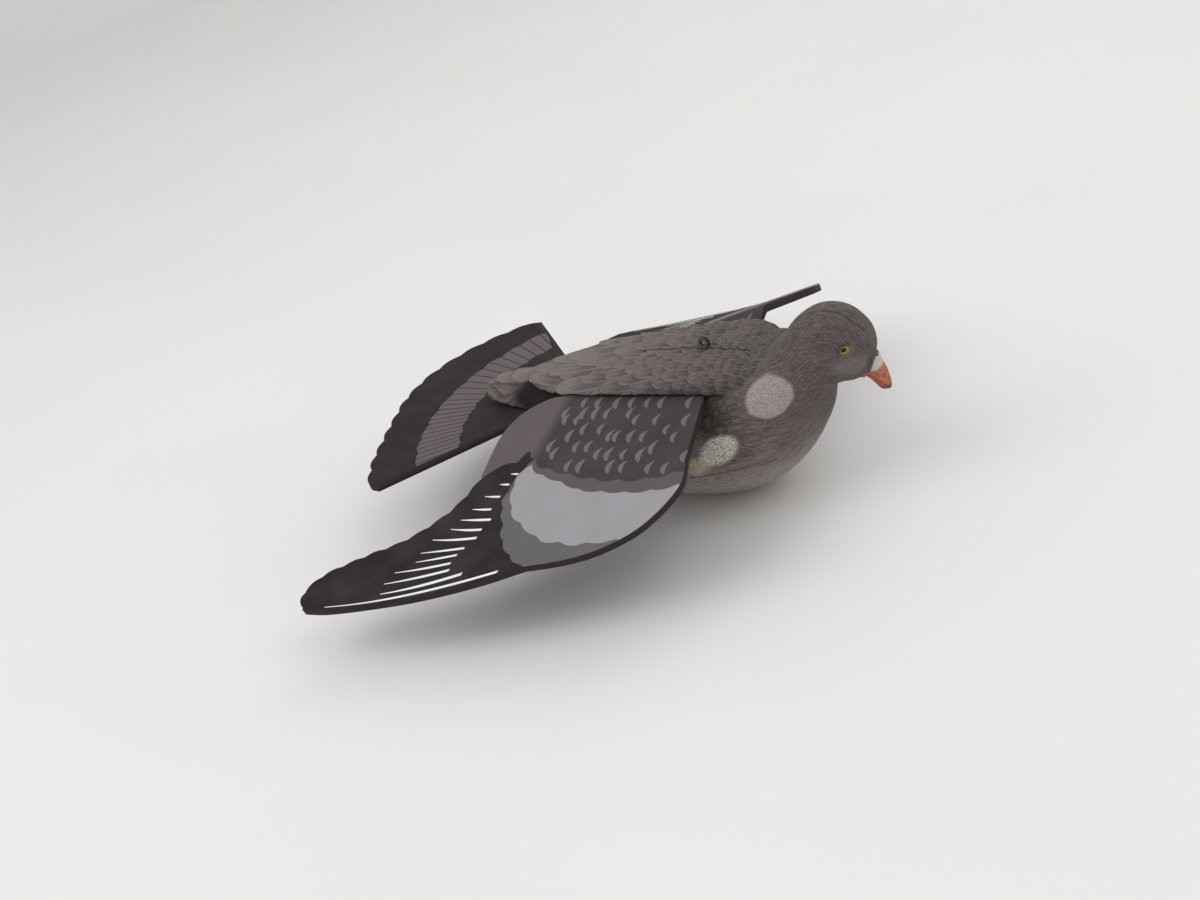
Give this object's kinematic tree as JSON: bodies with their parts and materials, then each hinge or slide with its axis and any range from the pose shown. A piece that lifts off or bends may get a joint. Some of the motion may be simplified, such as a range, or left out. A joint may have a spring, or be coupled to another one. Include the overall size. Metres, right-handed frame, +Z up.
{
  "type": "pigeon decoy",
  "caption": "Life-size moulded pigeon decoy with spread flat foam wings and a foam tail fan, lying on its belly.",
  "frame": {"origin": "in the flat spot that the belly rests on, about halfway along the body", "axes": "+X forward to the bill, +Y to the bird's left, +Z up"},
  "size_m": [0.3726, 0.4063, 0.1268],
  "materials": {
    "body_plastic": "matte painted",
    "wing_foam": "matte printed foam",
    "tail_foam": "matte printed foam"
  },
  "bodies": {
    "root": {"body": "body_plastic", "wing_right": "wing_foam", "wing_left": "wing_foam", "tail_fan": "tail_foam"}
  },
  "joints": []
}
